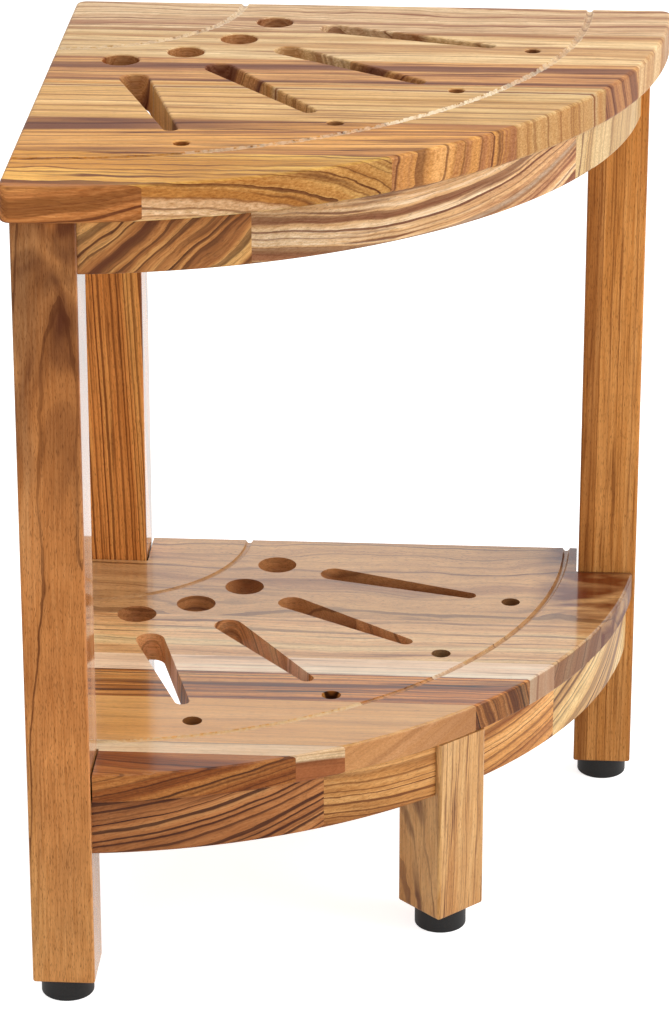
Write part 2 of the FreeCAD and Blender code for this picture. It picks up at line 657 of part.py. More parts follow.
inserts = []
for side, (x, y) in leg_axes.items():
    bore = foot_bore(side, x, y)
    if side == "front":
        name = "front_post"
        block = make_leg_block(name, x, y, post_height, post_turn)
        tools = [bore, post_cheek, post_screws["holes"]]
    else:
        name = f"{side}_leg"
        block = make_leg_block(name, f"{x} - {leg_half}", f"{y} - {leg_half}", leg_height)
        tools = [bore] + [holes[joint] for holes in (seat_holes, shelf_holes) for joint in leg_joints[side]]
    finish_node(cut(name, block, tools), name)

    # Brass sleeve in the leg's end
    sleeve = new_body(f"{side}_insert", x, y, "sizes.foot_height")
    outside = sleeve.newObject("PartDesign::AdditiveCylinder", f"{side}_insert_outside")
    bind(outside, {"Radius": "sizes.insert_diameter / 2", "Height": "sizes.insert_length"})
    inside = sleeve.newObject("PartDesign::SubtractiveCylinder", f"{side}_insert_inside")
    bind(inside, {"Radius": "sizes.stud_diameter / 2 + sizes.stud_clearance"})
    bind(inside, {"Height": "sizes.insert_length"})
    inserts.append(sleeve)

    # Rubber pad and the steel stud that is moulded into it
    pad = new_body(f"{side}_foot_pad", x, y, "0")
    disc = pad.newObject("PartDesign::AdditiveCylinder", f"{side}_foot_disc")
    bind(disc, {"Radius": "sizes.foot_diameter / 2", "Height": "sizes.foot_height"})
    height = sheet.get("foot_height")
    at_ends = lambda edge: lies_at(0)(edge) or lies_at(height)(edge)
    rounded = round_edges(pad, disc, at_ends, "sizes.foot_edge_round")
    socket = pad.newObject("PartDesign::SubtractiveCylinder", f"{side}_foot_socket")
    bind(socket, {"Radius": "sizes.stud_diameter / 2", "Height": "sizes.stud_in_pad"})
    bind(socket, {"Placement.Base.z": "sizes.foot_height - sizes.stud_in_pad"})
    doc.recompute()
    check_smaller(rounded, socket)
    finish_node(pad, f"{side}_foot_pad")

    stud = new_body(f"{side}_foot_stud", x, y, "sizes.foot_height - sizes.stud_in_pad")
    shank = stud.newObject("PartDesign::AdditiveCylinder", f"{side}_foot_shank")
    bind(shank, {"Radius": "sizes.stud_diameter / 2", "Height": "sizes.stud_in_pad + sizes.stud_in_leg"})
    doc.recompute()
    length = sheet.get("stud_in_pad") + sheet.get("stud_in_leg")
    point = stud.newObject("PartDesign::Chamfer", f"{side}_foot_point")
    point.Base = (shank, edge_names(shank.Shape, lies_at(length)))
    point.setExpression("Size", "sizes.stud_point")
    finish_node(stud, f"{side}_foot_stud")
finish_node(group("threaded_inserts", inserts), "threaded_inserts")

doc.recompute()

# Every object has to be sound before anything is written
for item in doc.Objects:
    if "Invalid" in item.State or "Error" in item.State:
        raise ValueError(f"{item.Name} failed: {item.State}")
for node in nodes:
    if node.Shape.isNull() or not node.Shape.isValid() or not node.Shape.Solids:
        raise ValueError(f"{node.Label} has no sound shape")

os.makedirs("parts", exist_ok=True)
for node in nodes:
    node.Shape.exportStep(f"parts/{node.Label}.step")
    print(node.Label, len(node.Shape.Solids), round(node.Shape.Volume))
print(len(nodes), "sub-parts")
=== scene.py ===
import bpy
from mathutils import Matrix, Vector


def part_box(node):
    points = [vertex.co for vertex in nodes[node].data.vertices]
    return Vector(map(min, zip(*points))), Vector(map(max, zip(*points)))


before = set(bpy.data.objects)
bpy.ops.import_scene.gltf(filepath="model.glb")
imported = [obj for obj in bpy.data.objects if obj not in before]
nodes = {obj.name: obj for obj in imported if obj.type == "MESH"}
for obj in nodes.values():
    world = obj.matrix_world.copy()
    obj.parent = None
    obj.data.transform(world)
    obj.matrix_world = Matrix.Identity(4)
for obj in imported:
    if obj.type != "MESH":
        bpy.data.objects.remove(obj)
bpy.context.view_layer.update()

import math

import bpy
from mathutils import Vector

print("frame:", len(nodes), "nodes")


def linear(hexColour):
    # sRGB hex to the linear colour that a shader takes, with the sRGB standard's own numbers
    parts = [int(hexColour[at:at + 2], 16) / 255 for at in (1, 3, 5)]
    return [part / 12.92 if part <= 0.04045 else ((part + 0.055) / 1.055) ** 2.4 for part in parts] + [1.0]


# Inputs are set by socket name, or by number where names repeat: Map Range has its limits at 1 to 4 and those
# of its vector form at 7 to 10, and Mix has its two colours at 6 and 7
def addNode(tree, kind, inputs=None, stops=None, **settings):
    node = tree.nodes.new("ShaderNode" + kind)
    for name, value in settings.items():
        setattr(node, name, value)
    for name, value in (inputs or {}).items():
        if isinstance(value, bpy.types.NodeSocket):
            tree.links.new(value, node.inputs[name])
        else:
            node.inputs[name].default_value = value
    for spot, (position, colour) in enumerate(stops or []):
        ramp = node.color_ramp.elements
        element = ramp[spot] if spot < 2 else ramp.new(position)    # a new ramp has two stops
        element.position = position
        element.color = colour
    return node.outputs


def newMaterial(name):
    material = bpy.data.materials.new(name)
    material.use_nodes = True
    material.node_tree.nodes.clear()
    return material, material.node_tree


def finishMaterial(tree, shader):
    addNode(tree, "OutputMaterial", {"Surface": shader})


def paint(nodeName, material):
    piece = nodes[nodeName]
    for slot in piece.material_slots:
        slot.material = material


# Camera at the photograph's viewing angle, without shift
cameraLook = {
    "aim": (-0.0099, -0.020, 0.2295),
    "yaw": 3.60,                # degrees
    "pitch": 22.85,
    "distance": 2.222,          # m
    "lens": 146.0,              # mm
    "sensor": 36,
    "farthest": 50,             # m that it sees
}
yaw, pitch = math.radians(cameraLook["yaw"]), math.radians(cameraLook["pitch"])
back = Vector((math.sin(yaw) * math.cos(pitch), -math.cos(yaw) * math.cos(pitch), math.sin(pitch)))
lens = bpy.data.cameras.new("camera")
lens.lens = cameraLook["lens"]
lens.sensor_width = cameraLook["sensor"]
lens.clip_end = cameraLook["farthest"]
camera = bpy.data.objects.new("camera", lens)
camera.location = Vector(cameraLook["aim"]) + back * cameraLook["distance"]
camera.rotation_euler = (-back).to_track_quat("-Z", "Y").to_euler()
bpy.context.scene.collection.objects.link(camera)
bpy.context.scene.camera = camera
print("camera:", [round(value, 3) for value in camera.location])


# Oiled teak, sawn, planed and rubbed with oil: growth rings round a pith line give dark lines on the
# faces and arcs on the ends, streaks of darker heartwood run with the grain, short pores stand in rows,
# and the oil leaves a thin even gloss
teakBasics = {
    "tones": ("#D2A066", "#BE8A50", "#94602F"),   # light, middle and dark wood
    "lineTone": "#5A3416",                         # late wood at the end of a ring
    "poreTone": "#4A2B14",
    "grain": (1, 0, 0),
    "pith": (0, 0, -80),        # mm from the piece's middle to the pith line
    "start": 0,                 # mm along the log, so that no two pieces are alike
    "ringWidth": 5.0,           # mm
    "uneven": 2.6,              # rings that the widths may stray by
    "waveLength": 160,          # mm along the grain from one bend to the next
    "wander": 6.0,              # mm that it bends by
    "wobble": 1.6,              # mm that a ring wavers by within a few centimetres
    "faint": 0.12,              # weakest and boldest ring line
    "bold": 0.9,
    "lineShare": 0.14,          # of a ring that is late wood
    "lineRun": 130,             # mm that a line stays bold
    "zoneWidth": 16,            # mm across the colour bands
    "zoneLength": 500,          # mm along them
    "zoneSpread": 0.13,         # smaller is sharper
    "streaks": 0.5,             # tapered dark streaks: strength, mm across and along
    "streakWidth": 3.0,
    "streakLength": 100,
    "drift": (1.0, 1.0),        # brightness at the two ends of the piece
    "pores": 0.5,
    "fibre": 0.18,
    "figure": 0.04,             # shimmer across the grain
    "hearts": [],               # bands of other wood: mm from the pith to its start and end, tone, strength
    "heartEnd": None,           # mm along from the middle where those bands start to fade and have faded
    # cloudy dark patches are the wood's own figure, but painted shade beside the right leg on the back shelf
    # plank
    "smokeAndShade": None,              # cloudy dark patches: mm along where they start and are full, tone, strength
    "bare": (0.6, 0.6),         # how pale the floors of the inner and the outer groove are
    "endShade": 0.25,
    "edgeTint": (1, 1, 1),      # of a plank's outer edge against its top
    "roughness": 0.36,
    "specular": 0.4,
    "coat": 0.2,                # oil film on the faces across the film axis and on the others
    "sideCoat": 0.2,
    "filmAxis": 2,
    "coatRoughness": 0.2,
    "coatIor": 1.5,
}

# Size of each pattern in mm, along the grain and across it; pores are 0.2 mm wide in real teak and are drawn
# at 0.35 mm so that they show
teakSizes = {
    "waver": (24, 9),
    "cloud": (60, 24),
    "fibre": (40, 0.9),
    "ripple": (14, 30),
    "pore": (3.2, 0.35),
}
wanderWidth = 45    # mm across the grain from one bend to the next

# Noise values where a pattern starts and where it is full
teakNoise = {
    "lineRun": (0.34, 0.56),
    "streak": (0.58, 0.7),
    "smokeAndShade": (0.32, 0.66),
    "fibre": (0.25, 0.75),
    "figure": (0.3, 0.7),
    "pore": (0.56, 0.72),
    "poreRelief": (0.55, 0.74),
    "tear": (0.42, 0.6),
    "patch": (0.36, 0.6),
    "gloss": (0.3, 0.7),
}

# Shares and limits that all teak pieces have in common
teakLimits = {
    "widthNoise": 0.31,         # noise steps per ring, for the rings' widths and for where a line is bold
    "runNoise": 0.9,
    "boldChance": 1.4,          # higher makes fewer bold lines
    "thinnedLine": 0.5,         # of its strength that a line keeps where it thins out
    "heartInside": 1.4,         # mm over which the edge of a band of other wood fades, in it and beyond it
    "heartOutside": 0.4,
    "fadedHeart": 0.15,         # of its strength that the band keeps past its end
    "fibreTint": (1.0, 1.4, 1.9),   # darker wood is redder too, so green and blue change more than red
    "fibreDark": 1.3,           # share of a fibre's contrast that darkens, and that lightens
    "fibreLight": 0.7,
    "wallEnd": 0.1,             # of the end grain's shade that a hole's wall keeps
    "sideMargin": 0.0015,       # m from the panel's straight sides that count as its edge
    "tearsPerMetre": 420.0,     # so that one is about 2.4 mm long
    "rimTear": 0.0017,          # m from a groove's middle that is bare everywhere
    "grooveDepth": 0.004,       # m below the top within which a groove's floor lies
    "patchFloor": 0.5,          # least paleness of a groove's floor
    "glossSpread": (0.06, 0.08),    # roughness less and more than the mean
    "filmTurn": (0.5, 0.95),    # share of the normal along the film axis where the film starts and is full
    "ior": 1.5,
    "poreBump": 0.25,           # strength and depth in m
    "poreDepth": 0.0002,
}
plain = Vector((1, 1, 1))


def limits(pattern):
    start, full = teakNoise[pattern]
    return {1: start, 2: full}


def shrink(pattern):
    lengthways, sideways = teakSizes[pattern]
    return 1 / lengthways, 1 / sideways, 1 / sideways


def makeTeak(name, nodeName, look):
    look = {**teakBasics, **look}
    material, tree = newMaterial(name)
    low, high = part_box(nodeName)
    along = Vector(look["grain"]).normalized()
    pithPoint = (low + high) / 2 + (Vector(look["pith"]) + along * look["start"]) / 1000
    turn = along.to_track_quat("X", "Z").to_euler()
    coords = addNode(tree, "TexCoord")
    grain = addNode(tree, "Mapping", {
        "Vector": coords["Object"], "Location": pithPoint, "Rotation": turn, "Scale": (0.001,) * 3,
    }, vector_type="TEXTURE")[0]

    # Slow wander of the grain, then the distance from the pith, counted in rings
    slow = addNode(tree, "VectorMath", {
        0: grain, 1: (1 / look["waveLength"], 1 / wanderWidth, 1 / wanderWidth)}, operation="MULTIPLY")[0]
    drift = addNode(tree, "TexNoise", {"Vector": slow, "Scale": 1.0, "Detail": 3.0})["Color"]
    bent = addNode(tree, "VectorMath", {0: drift, 1: (0, look["wander"], look["wander"]), 2: grain},
                   operation="MULTIPLY_ADD")[0]
    section = addNode(tree, "VectorMath", {0: bent, 1: (0, 1, 1)}, operation="MULTIPLY")[0]
    smooth = addNode(tree, "VectorMath", {0: section}, operation="LENGTH")["Value"]
    quick = addNode(tree, "VectorMath", {0: grain, 1: shrink("waver")}, operation="MULTIPLY")[0]
    waver = addNode(tree, "TexNoise", {"Vector": quick, "Scale": 1.0, "Detail": 2.0})[0]
    fromPith = addNode(tree, "Math", {0: waver, 1: look["wobble"], 2: smooth}, operation="MULTIPLY_ADD")[0]
    ringCount = addNode(tree, "Math", {0: fromPith, 1: look["ringWidth"]}, operation="DIVIDE")[0]
    widths = addNode(tree, "TexNoise", {
        "W": ringCount, "Scale": teakLimits["widthNoise"], "Detail": 2.0}, noise_dimensions="1D")[0]
    rings = addNode(tree, "Math", {0: widths, 1: look["uneven"], 2: ringCount}, operation="MULTIPLY_ADD")[0]
    phase = addNode(tree, "Math", {0: rings}, operation="FRACT")[0]
    ringNumber = addNode(tree, "Math", {0: rings}, operation="FLOOR")[0]
    luck = addNode(tree, "TexWhiteNoise", {"W": ringNumber}, noise_dimensions="1D")["Value"]
    lengthwise = addNode(tree, "SeparateXYZ", {0: bent})[0]

    # Late wood darkens towards the end of each ring and stops sharply; some rings are bold, a bold line
    # thins out along the log, and lines on end grain are half as wide
    facing = addNode(tree, "VectorMath", {0: coords["Normal"], 1: along}, operation="DOT_PRODUCT")["Value"]
    endOn = addNode(tree, "Math", {0: facing, 1: 2.0}, operation="POWER")[0]
    squeeze = addNode(tree, "Math", {0: endOn, 1: 1.0}, operation="ADD")[0]
    toGo = addNode(tree, "Math", {0: 1.0, 1: phase}, operation="SUBTRACT")[0]
    toGo = addNode(tree, "Math", {0: toGo, 1: squeeze}, operation="MULTIPLY")[0]
    place = addNode(tree, "Math", {0: 1.0, 1: toGo}, operation="SUBTRACT", use_clamp=True)[0]
    share = look["lineShare"]
    late = addNode(tree, "ValToRGB", {0: place}, [    # a trace of the last line, clear wood, a rise, the line
        (0.0, (0.12, 0.12, 0.12, 1)), (0.05, (0, 0, 0, 1)), (1 - 2.6 * share, (0.02, 0.02, 0.02, 1)),
        (1 - 1.2 * share, (0.2, 0.2, 0.2, 1)), (1 - 0.9 * share, (1, 1, 1, 1)), (0.98, (1, 1, 1, 1)),
    ])[0]
    chance = addNode(tree, "Math", {0: luck, 1: teakLimits["boldChance"]}, operation="POWER")[0]
    boldness = addNode(tree, "MapRange", {0: chance, 3: look["faint"], 4: look["bold"]})[0]
    runAlong = addNode(tree, "Math", {0: lengthwise, 1: look["lineRun"]}, operation="DIVIDE")[0]
    runAcross = addNode(tree, "Math", {0: rings, 1: teakLimits["runNoise"]}, operation="MULTIPLY")[0]
    runSpot = addNode(tree, "CombineXYZ", {0: runAlong, 1: runAcross})[0]
    run = addNode(tree, "TexNoise", {"Vector": runSpot, "Scale": 1.0, "Detail": 1.0})[0]
    runShade = addNode(tree, "MapRange", {
        0: run, **limits("lineRun"), 3: teakLimits["thinnedLine"], 4: 1.0})[0]
    bolder = addNode(tree, "Math", {0: boldness, 1: runShade}, operation="MULTIPLY")[0]
    line = addNode(tree, "Math", {0: late, 1: bolder}, operation="MULTIPLY")[0]

    # Bands of lighter and darker wood
    bandAlong = addNode(tree, "Math", {0: lengthwise, 1: look["zoneLength"]}, operation="DIVIDE")[0]
    bandAcross = addNode(tree, "Math", {0: fromPith, 1: look["zoneWidth"]}, operation="DIVIDE")[0]
    bandSpot = addNode(tree, "CombineXYZ", {0: bandAlong, 1: bandAcross})[0]
    band = addNode(tree, "TexNoise", {"Vector": bandSpot, "Scale": 1.0, "Detail": 5.0, "Roughness": 0.66})[0]
    light, middle, dark = [linear(tone) for tone in look["tones"]]
    reach = look["zoneSpread"]
    wood = addNode(tree, "ValToRGB", {0: band}, [(0.5 - reach, light), (0.5 + reach, dark), (0.5, middle)])[0]
    for first, last, tone, strength in look["hearts"]:
        middleOut = addNode(tree, "Math", {0: fromPith, 1: (first + last) / 2}, operation="SUBTRACT")[0]
        offset = addNode(tree, "Math", {0: middleOut}, operation="ABSOLUTE")[0]
        heart = addNode(tree, "MapRange", {
            0: offset, 1: (last - first) / 2 - teakLimits["heartInside"],
            2: (last - first) / 2 + teakLimits["heartOutside"], 3: strength, 4: 0.0})[0]
        heart = addNode(tree, "Math", {0: heart, 1: runShade}, operation="MULTIPLY")[0]
        if look["heartEnd"]:
            begin, end = [at - look["start"] for at in look["heartEnd"]]
            left = addNode(tree, "MapRange", {
                0: lengthwise, 1: begin, 2: end, 3: 1.0, 4: teakLimits["fadedHeart"]})[0]
            heart = addNode(tree, "Math", {0: heart, 1: left}, operation="MULTIPLY")[0]
        wood = addNode(tree, "Mix", {0: heart, 6: wood, 7: linear(tone)}, data_type="RGBA")[2]

    # Tapered streaks, thin and dark, that start and stop along the grain
    streakAlong = addNode(tree, "Math", {0: lengthwise, 1: look["streakLength"]}, operation="DIVIDE")[0]
    streakAcross = addNode(tree, "Math", {0: fromPith, 1: look["streakWidth"]}, operation="DIVIDE")[0]
    streakSpot = addNode(tree, "CombineXYZ", {0: streakAlong, 1: streakAcross})[0]
    streakNoise = addNode(tree, "TexNoise", {"Vector": streakSpot, "Scale": 1.0, "Detail": 1.5})[0]
    streak = addNode(tree, "MapRange", {0: streakNoise, **limits("streak"), 4: look["streaks"]})[0]
    inked = addNode(tree, "Math", {0: line, 1: streak}, operation="MAXIMUM")[0]
    # Cloudy dark patches, as figure on some pieces and as painted shade on the back shelf plank
    if look["smokeAndShade"]:
        first, last, tone, strength = look["smokeAndShade"]
        cloud = addNode(tree, "VectorMath", {0: grain, 1: shrink("cloud")}, operation="MULTIPLY")[0]
        cloudNoise = addNode(tree, "TexNoise", {
            "Vector": cloud, "Scale": 1.0, "Detail": 2.0, "Distortion": 1.2})[0]
        patch = addNode(tree, "MapRange", {0: cloudNoise, **limits("smokeAndShade"), 4: strength})[0]
        reachUp = addNode(tree, "MapRange", {
            0: lengthwise, 1: first - look["start"], 2: last - look["start"], 3: 0.0, 4: 1.0})[0]
        smokeAndShade = addNode(tree, "Math", {0: patch, 1: reachUp}, operation="MULTIPLY")[0]
        wood = addNode(tree, "Mix", {0: smokeAndShade, 6: wood, 7: linear(tone)}, data_type="RGBA")[2]
    lined = addNode(tree, "Mix", {0: inked, 6: wood, 7: linear(look["lineTone"])}, data_type="RGBA")[2]

    # Fibres about 1 mm wide, a shimmer across them, and a slow change from one end to the other
    thin = addNode(tree, "VectorMath", {0: bent, 1: shrink("fibre")}, operation="MULTIPLY")[0]
    fibre = addNode(tree, "TexNoise", {"Vector": thin, "Scale": 1.0, "Detail": 3.0})[0]
    tint = Vector(teakLimits["fibreTint"]) * look["fibre"]
    start, full = teakNoise["fibre"]
    fibreShade = addNode(tree, "MapRange", {
        "Vector": fibre, 7: plain * start, 8: plain * full,
        9: plain - tint * teakLimits["fibreDark"], 10: plain + tint * teakLimits["fibreLight"],
    }, data_type="FLOAT_VECTOR")["Vector"]
    ripple = addNode(tree, "VectorMath", {0: grain, 1: shrink("ripple")}, operation="MULTIPLY")[0]
    figure = addNode(tree, "TexNoise", {"Vector": ripple, "Scale": 1.0, "Detail": 2.0})[0]
    figureShade = addNode(tree, "MapRange", {
        0: figure, **limits("figure"), 3: 1 - look["figure"], 4: 1 + look["figure"]})[0]
    length = sum(abs(along[axis]) * (high[axis] - low[axis]) for axis in range(3)) * 1000
    driftShade = addNode(tree, "MapRange", {
        0: lengthwise, 1: -look["start"] - length / 2, 2: -look["start"] + length / 2,
        3: look["drift"][0], 4: look["drift"][1]})[0]
    shade = addNode(tree, "Math", {0: figureShade, 1: driftShade}, operation="MULTIPLY")[0]
    fibred = addNode(tree, "VectorMath", {0: lined, 1: fibreShade}, operation="MULTIPLY")[0]
    combed = addNode(tree, "VectorMath", {0: fibred, 3: shade}, operation="SCALE")[0]

    # Pores in rows along the grain
    dashes = addNode(tree, "VectorMath", {0: bent, 1: shrink("pore")}, operation="MULTIPLY")[0]
    poreNoise = addNode(tree, "TexNoise", {"Vector": dashes, "Scale": 1.0, "Detail": 1.0})[0]
    pore = addNode(tree, "MapRange", {0: poreNoise, **limits("pore"), 4: look["pores"]})[0]
    pored = addNode(tree, "Mix", {0: pore, 6: combed, 7: linear(look["poreTone"])}, data_type="RGBA")[2]

    # End grain drinks more oil and is darker, but not in the holes and slots, whose walls are sanded by hand
    endFactor = addNode(tree, "Math", {0: endOn, 1: look["endShade"]}, operation="MULTIPLY")[0]
    if "grooves" in look:
        fromCorner = addNode(tree, "VectorMath", {
            0: coords["Object"], 1: look["corner"]}, operation="SUBTRACT")[0]
        flat = addNode(tree, "VectorMath", {0: fromCorner, 1: (1, 1, 0)}, operation="MULTIPLY")[0]
        away = addNode(tree, "VectorMath", {0: flat}, operation="LENGTH")["Value"]
        within = addNode(tree, "Math", {0: away, 1: look["cutRadius"]}, operation="LESS_THAN")[0]
        sides = addNode(tree, "SeparateXYZ", {
            0: addNode(tree, "VectorMath", {0: fromCorner}, operation="ABSOLUTE")[0]})
        nearest = addNode(tree, "Math", {0: sides[0], 1: sides[1]}, operation="MINIMUM")[0]
        inner = addNode(tree, "Math", {0: nearest, 1: teakLimits["sideMargin"]}, operation="GREATER_THAN")[0]
        upward = addNode(tree, "SeparateXYZ", {0: coords["Normal"]})[2]
        upright = addNode(tree, "Math", {0: upward, 1: 0.0, 2: 0.5}, operation="COMPARE")[0]
        wall = addNode(tree, "Math", {0: within, 1: inner}, operation="MULTIPLY")[0]
        wall = addNode(tree, "Math", {0: wall, 1: upright}, operation="MULTIPLY")[0]
        outside = addNode(tree, "MapRange", {0: wall, 3: 1.0, 4: teakLimits["wallEnd"]})[0]
        endFactor = addNode(tree, "Math", {0: endFactor, 1: outside}, operation="MULTIPLY")[0]
    colour = addNode(tree, "Mix", {0: endFactor, 6: pored, 7: linear(look["lineTone"])}, data_type="RGBA")[2]

    # Painted shade darkens the walls of the holes and slots, and more and redder in the rings of holes; a
    # groove's floor is bare of oil, pale and torn at its rims
    if "grooves" in look:
        wallShade = addNode(tree, "MapRange", {0: wall, 3: 1.0, 4: look["paintedWallShade"]})[0]
        colour = addNode(tree, "VectorMath", {0: colour, 3: wallShade}, operation="SCALE")[0]
        for radius, reach, holeShade in look["paintedHoleShades"]:
            near = addNode(tree, "Math", {0: away, 1: radius, 2: reach}, operation="COMPARE")[0]
            bored = addNode(tree, "Math", {0: near, 1: wall}, operation="MULTIPLY")[0]
            holeShadeFactor = addNode(tree, "MapRange", {
                "Vector": bored, 7: Vector(), 8: plain, 9: plain, 10: holeShade,
            }, data_type="FLOAT_VECTOR")["Vector"]
            colour = addNode(tree, "VectorMath", {0: colour, 1: holeShadeFactor}, operation="MULTIPLY")[0]
        edge = addNode(tree, "Math", {0: upright, 1: wall}, operation="SUBTRACT")[0]
        edgeShade = addNode(tree, "MapRange", {
            "Vector": edge, 7: Vector(), 8: plain, 9: plain, 10: look["edgeTint"],
        }, data_type="FLOAT_VECTOR")["Vector"]
        colour = addNode(tree, "VectorMath", {0: colour, 1: edgeShade}, operation="MULTIPLY")[0]
        torn = addNode(tree, "TexNoise", {
            "Vector": coords["Object"], "Scale": teakLimits["tearsPerMetre"], "Detail": 4.0,
            "Roughness": 0.65})[0]
        tear = addNode(tree, "MapRange", {
            0: torn, **limits("tear"), 3: teakLimits["rimTear"], 4: look["tear"]})[0]
        height = addNode(tree, "SeparateXYZ", {0: fromCorner})[2]
        upper = addNode(tree, "Math", {0: height, 1: -teakLimits["grooveDepth"]}, operation="GREATER_THAN")[0]
        patchy = addNode(tree, "MapRange", {
            0: torn, **limits("patch"), 3: teakLimits["patchFloor"], 4: 1.0})[0]
        pale = addNode(tree, "Math", {0: upper, 1: patchy}, operation="MULTIPLY")[0]
    for radius, bareness in zip(look.get("grooves", []), look["bare"]):
        inside = addNode(tree, "Math", {0: away, 1: radius, 2: tear}, operation="COMPARE")[0]
        bare = addNode(tree, "Math", {0: inside, 1: pale}, operation="MULTIPLY")[0]
        bare = addNode(tree, "Math", {0: bare, 1: bareness}, operation="MULTIPLY")[0]
        colour = addNode(tree, "Mix", {0: bare, 6: colour, 7: linear(look["bareTone"])}, data_type="RGBA")[2]

    # Gloss varies a little with the fibres, the pores are pits, and the oil film, where there is one, may be
    # thicker on some faces
    smoother, duller = teakLimits["glossSpread"]
    roughness = addNode(tree, "MapRange", {
        0: fibre, **limits("gloss"), 3: look["roughness"] - smoother, 4: look["roughness"] + duller})[0]
    relief = addNode(tree, "MapRange", {0: poreNoise, **limits("poreRelief"), 3: 1.0, 4: 0.0})[0]
    bump = addNode(tree, "Bump", {
        "Height": relief, "Strength": teakLimits["poreBump"], "Distance": teakLimits["poreDepth"]})[0]
    film = look["coat"]
    if look["sideCoat"] != look["coat"]:
        level = addNode(tree, "VectorMath", {0: coords["Normal"]}, operation="ABSOLUTE")[0]
        across = addNode(tree, "SeparateXYZ", {0: level})[look["filmAxis"]]
        start, full = teakLimits["filmTurn"]
        film = addNode(tree, "MapRange", {
            0: across, 1: start, 2: full, 3: look["sideCoat"], 4: look["coat"]})[0]
    shader = addNode(tree, "BsdfPrincipled", {
        "Base Color": colour, "Roughness": roughness, "IOR": teakLimits["ior"], "Normal": bump,
        "Specular IOR Level": look["specular"], "Coat Weight": film,
        "Coat Roughness": look["coatRoughness"], "Coat IOR": look["coatIor"],
    })[0]
    finishMaterial(tree, shader)
    paint(nodeName, material)


# Seat planks from the back edge to the front. In m from the corner: the two grooves, how far a groove's rim
# is torn, the radius within which an upright face is a hole's wall, and the rings of holes (radius, reach and
# painted shade of the walls). All hole and slot walls also get a lighter painted shade
seatFinish = {
    "coat": 0.0, "sideCoat": 0.0, "roughness": 0.45, "specular": 0.12, "pores": 0.3, "fibre": 0.25,
    "zoneSpread": 0.1, "streakWidth": 4.0, "streakLength": 110, "lineShare": 0.18,
    "corner": (-0.165, 0.165, 0.457), "grooves": (0.094, 0.285), "tear": 0.0026, "bareTone": "#F2E2C6",
    "cutRadius": 0.326, "paintedWallShade": 0.92,
    "paintedHoleShades": [(0.119, 0.0125, (0.72, 0.5, 0.38)), (0.268, 0.006, (0.58, 0.43, 0.38))],
}
seatPlanks = {
    "seat_plank_1": {
        "tones": ("#ECCDA3", "#DBB58C", "#B78867"), "lineTone": "#824A2A", "pith": (0, 80, -40),
        "start": 200, "grain": (1, 0.02, 0.04), "ringWidth": 6.0, "wander": 14, "waveLength": 90,
        "faint": 0.2, "bold": 1.0, "zoneWidth": 8, "streaks": 0.6, "bare": (0.6, 0.25),
    },
    "seat_plank_2": {
        "tones": ("#F1D1A0", "#E9C591", "#CC9F6D"), "lineTone": "#96603A", "pith": (0, 150, -25),
        "start": 900, "grain": (1, 0.0, 0.01), "ringWidth": 9.0, "faint": 0.1, "bold": 0.8, "lineRun": 90,
        "streaks": 0.7, "hearts": [(115, 132, "#A87854", 0.8)], "drift": (0.94, 1.07), "bare": (0.5, 0.4),
    },
    "seat_plank_3": {
        "tones": ("#E0AA6D", "#C58B5A", "#936040"), "lineTone": "#643222", "pith": (0, -120, -40),
        "start": 1700, "grain": (1, 0.01, 0.02), "ringWidth": 7.0, "faint": 0.35, "bold": 1.0,
        "zoneWidth": 9, "zoneLength": 380, "streaks": 0.85,
        "hearts": [(137, 147, "#80523C", 0.9), (116, 121, "#80523C", 0.9)], "drift": (0.97, 1.05),
    },
    "seat_plank_4": {
        "tones": ("#EDC68A", "#E5B77B", "#D2A464"), "lineTone": "#8A5224", "pith": (0, 190, 15),
        "start": 2500, "ringWidth": 9.5, "uneven": 1.2, "wander": 5, "waveLength": 260, "faint": 0.6,
        "bold": 1.0, "lineShare": 0.19, "lineRun": 320, "streaks": 0.6,
        "hearts": [(158, 162, "#CE8842", 0.6), (163, 168, "#F0D8B0", 0.6)], "drift": (1.15, 0.86),
        "bare": (1.0, 1.0), "endShade": 0.42, "edgeTint": (0.97, 0.89, 0.8),
    },
    "seat_plank_5": {
        "tones": ("#F2B56C", "#E2A358", "#AE744A"), "lineTone": "#5A2A18", "pith": (0, 150, -12),
        "start": 3300, "grain": (1, 0.06, 0.0), "ringWidth": 7.5, "faint": 0.6, "bold": 1.0,
        "lineShare": 0.2, "lineRun": 110, "streaks": 0.95, "streakLength": 80,
        "hearts": [(90, 136, "#7E4C34", 1.0)], "heartEnd": (-90, 40), "drift": (0.96, 1.07),
        "bare": (0.5, 0.5), "edgeTint": (0.98, 0.95, 1.0),
    },
    "seat_plank_6": {
        "tones": ("#F6D97C", "#F6C065", "#CE9142"), "lineTone": "#66300F", "pith": (0, -40, -60),
        "start": 4100, "grain": (1, 0.02, 0.0), "ringWidth": 4.6, "wander": 7, "wobble": 3.5,
        "faint": 0.65, "bold": 1.0, "lineShare": 0.24, "streaks": 0.95,
        "hearts": [(20, 71, "#FFDFA4", 1.0)], "drift": (1.24, 0.78), "bare": (0.1, 0.1),
        "edgeTint": (0.9, 0.8, 0.92),
    },
    "seat_plank_7": {
        "tones": ("#DC9652", "#C68045", "#935A2A"), "lineTone": "#5A2810", "pith": (0, 60, -45),
        "start": 4900, "bold": 1.0, "zoneWidth": 8, "smokeAndShade": (20, 60, "#6E4020", 0.55),
        "edgeTint": (1.15, 1.12, 1.15),
    },
}
for nodeName, look in seatPlanks.items():
    makeTeak("oiled teak, planed, " + nodeName.replace("_", " "), nodeName, {**seatFinish, **look})
print("seat planks:", len(seatPlanks))

